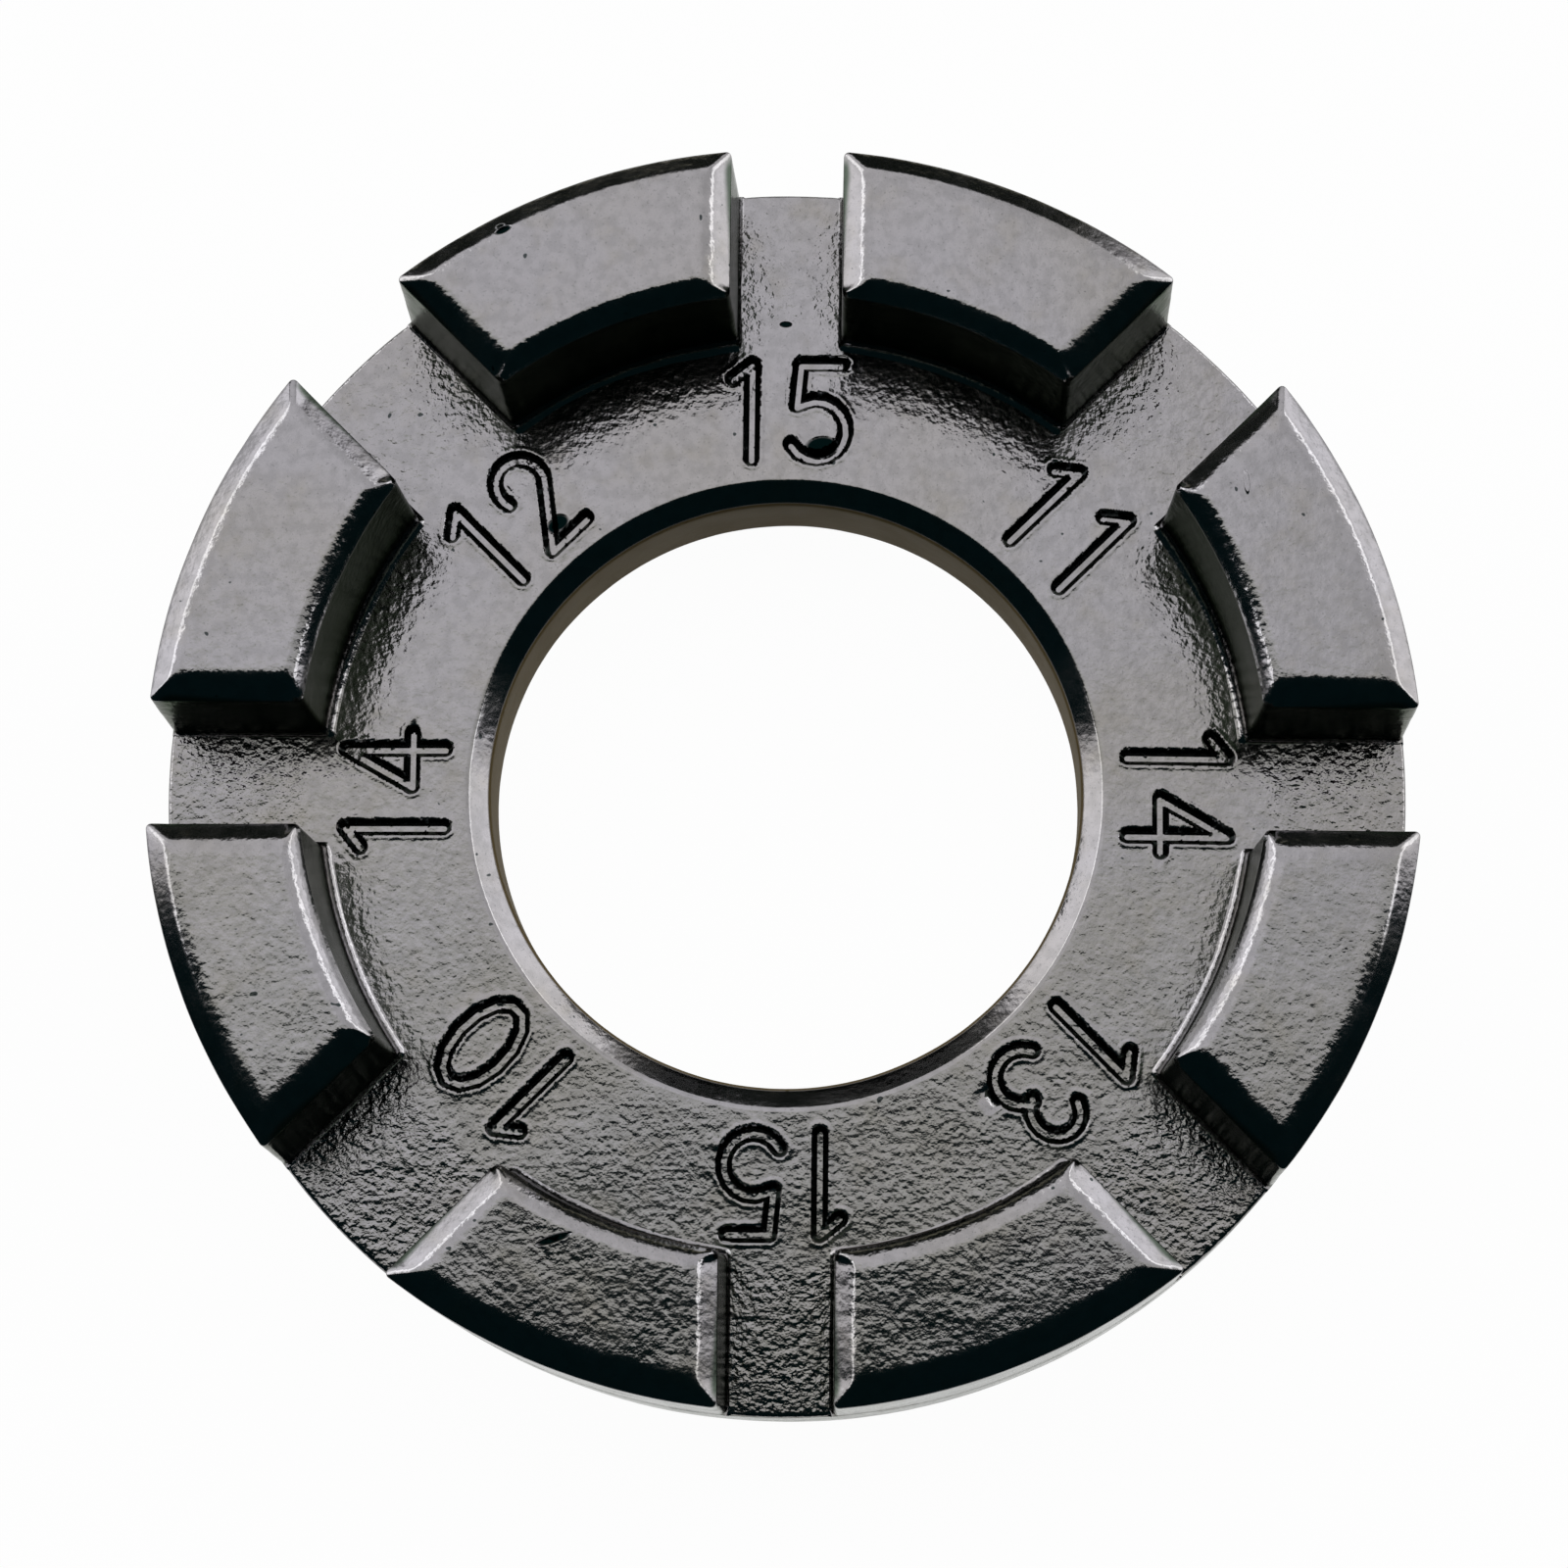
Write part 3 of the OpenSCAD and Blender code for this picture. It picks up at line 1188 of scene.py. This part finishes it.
    def build(self, material: bpy.types.Material) -> list[bpy.types.Object]:
        """Builds the eight jaws.

        Args:
            material: their finish.

        Returns:
            The finished pieces, clockwise from the top notch.
        """
        square, way = self.contour()
        contour = helper("jaw_contour", square, extras={"way": way})
        levels = self.levels()
        shared = {
            "Contour": contour, "Levels": levels, "Around": len(square), "Upwards": len(levels.data.vertices),
            "Ring radius": self.cast.ring_r * MM, "Heel radius": self.cast.heel_at * MM,
            "Corner radius": self.corner_r * MM, "Material": material}
        tree = self.tree()
        pieces = []
        for notch in Notch:
            name = f"jaw_{notch.numerals}_{notch.next.numerals}"
            jaw = tree.run(f"cast_{name}", {
                **shared, "Left notch": notch.angle, "Right notch": notch.angle - PITCH,
                "Left width": notch.width * MM, "Right width": notch.next.width * MM})
            tidy(jaw)
            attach(jaw, "root")
            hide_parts(name)
            pieces.append(jaw)
        for thing in (contour, levels):
            discard(thing)
        return pieces


@dataclass(frozen=True)
class Room:
    """What the metal mirrors: a pale scrim overhead, a dim backdrop behind, black towards the front.

    Spans are on the unit vector of a direction: x to the right, y away from the camera, z up. The
    width of the folds counts in thousandths of it.
    """

    near: Triple = (1.02, 1.03, 0.96)
    far: Triple = (1.27, 1.255, 1.275)
    fold: Triple = (0.5, 0.5, 0.5)
    front: Triple = (0.003, 0.012, 0.0135)
    behind: Triple = (0.012, 0.016, 0.013)
    skirting: Triple = (0.29, 0.28, 0.20)
    lamp_low: Triple = (0.40, 0.395, 0.40)
    lamp_high: Triple = (1.32, 1.30, 1.33)
    strip: Triple = (2.8, 2.8, 2.8)
    hem: Pair = (0.62, 0.34)
    hem_along: Pair = (-0.2, 0.3)
    hung: Spans = (((-0.06, 0.06),), ((-0.052, 0.02),))
    scrim_along: Pair = (0.02, 0.22)
    folds: Pattern = Pattern(62.5, 1.0, span=(0.25, 0.75), share=0.3)
    right_span: Pair = (-0.05, 0.3)
    right_share: float = 0.2
    skirting_rise: Pair = (0.02, 0.10)
    lamp_rise: Pair = (0.12, 0.24)
    lamp_right: Pair = (0.37, 0.45)
    lamp_left: Pair = (-0.57, -0.67)
    lamp_along: Pair = (-0.06, 0.02)
    back_along: Pair = (-0.08, 0.03)
    strip_at: Spans = (((0.46, 0.50), (0.64, 0.60)), ((0.40, 0.50),), ((-0.12, 0.0),))

    def build(self) -> None:
        """Makes the world and gives it to the scene."""
        world = bpy.data.worlds.new("studio_room")
        t = blank_tree(world)
        way = t.node("ShaderNodeTexCoord", {}, {}, "Generated")
        x, y, z = way.split()
        plain = t.mix_colour(z.across(self.skirting_rise), self.skirting, self.behind)
        lamp = t.mix_colour(z.across(self.lamp_rise), self.lamp_low, self.lamp_high)
        beside = (x.across(self.lamp_right) + x.across(self.lamp_left)).at_most(1.0)
        back = t.mix_colour(beside * y.across(self.lamp_along), plain, lamp)
        shade = self.folds.shown(self.folds.noise(t, way)) + x.across(self.right_span) * self.right_share
        scrim = t.mix_colour(y.across(self.scrim_along), self.near, self.far)
        over_hem = z - y.ramp(*self.hem_along, *self.hem)
        (seen,) = t.light_path("Is Camera Ray")
        colour = t.mix_colour(y.across(self.back_along), self.front, back)
        for share, over in (
                (within((over_hem, y), self.hung), t.mix_colour(shade, scrim, self.fold)),
                (within((z, x.apply("ABSOLUTE"), y), self.strip_at), self.strip), (seen, WHITE)):
            colour = t.mix_colour(share, colour, over)
        glow = t.raw("ShaderNodeBackground", {}, {"Color": colour, "Strength": 1.0})
        t.raw("ShaderNodeOutputWorld", {}, {"Surface": glow.outputs[0]})
        bpy.context.scene.world = world


@dataclass
class Studio:
    """Floor, soft light and camera, in metres and radians, with the lens in millimetres."""

    camera_at: Triple = (0.00373, -0.0249, 0.1585)
    looks_at: Triple = (-0.00003, 0.00018, 0.0047)
    roll: float = 0.01
    lens: float = 106.3
    sensor: float = 36.0
    clip: Pair = (0.005, 20.0)
    floor_half: float = 1.5

    def floor(self) -> None:
        """Lays the pale floor."""
        s = self.floor_half
        mesh = bpy.data.meshes.new("floor")
        mesh.from_pydata([(-s, -s, 0), (s, -s, 0), (s, s, 0), (-s, s, 0)], [], [(0, 1, 2, 3)])
        mesh.materials.append(PaleFloor().material())
        thing = place("floor", mesh)

    def lamps(self) -> None:
        """Hangs the softboxes, each facing the object."""
        for box in Softbox:
            at, size, radiance = box.value
            data = bpy.data.lights.new(f"softbox_{box.name.lower()}", "AREA")
            data.shape = "RECTANGLE"
            data.size, data.size_y = size
            data.energy = radiance * math.pi * size[0] * size[1]
            lamp = bpy.data.objects.new(data.name, data)
            lamp.location = at
            lamp.rotation_euler = (-Vector(at)).to_track_quat("-Z", "Y").to_euler()
            bpy.context.scene.collection.objects.link(lamp)

    def camera(self) -> None:
        """Sets the camera at the photograph's viewing angle."""
        data = bpy.data.cameras.new("camera")
        data.sensor_width, data.lens = self.sensor, self.lens
        data.clip_start, data.clip_end = self.clip
        camera = bpy.data.objects.new("camera", data)
        forward = (Vector(self.looks_at) - Vector(self.camera_at)).normalized()
        right = forward.cross(Vector((0.0, 1.0, 0.0))).normalized()
        axes = Matrix((right, right.cross(forward), -forward)).transposed()
        camera.location = self.camera_at
        camera.rotation_euler = (axes @ Matrix.Rotation(self.roll, 3, "Z")).to_euler()
        bpy.context.scene.collection.objects.link(camera)
        bpy.context.scene.camera = camera

    def build(self) -> None:
        """Sets up everything round the object."""
        self.camera()
        self.floor()
        self.lamps()
        Room().build()
        bpy.context.scene.view_settings.view_transform = "Standard"


def report(pieces: Iterable[bpy.types.Object]) -> None:
    """Logs how many points and triangles each piece has.

    Args:
        pieces: the finished pieces.
    """
    for piece in pieces:
        triangles = sum(len(p.vertices) - 2 for p in piece.data.polygons)
        LOG.info("%s: %d points, %d triangles", piece.name, len(piece.data.vertices), triangles)


def main() -> None:
    """Builds the studio, the ring and the jaws."""
    logging.basicConfig(level=logging.INFO, format="%(name)s: %(message)s")
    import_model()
    Studio().build()
    cast = CastBody()
    finish = PlatedCasting(cast).material()
    ring = RingBase(cast, Numerals()).build(finish)
    jaws = Jaws(cast).build(finish)
    report([ring, *jaws])


if __name__ == "__main__":
    main()
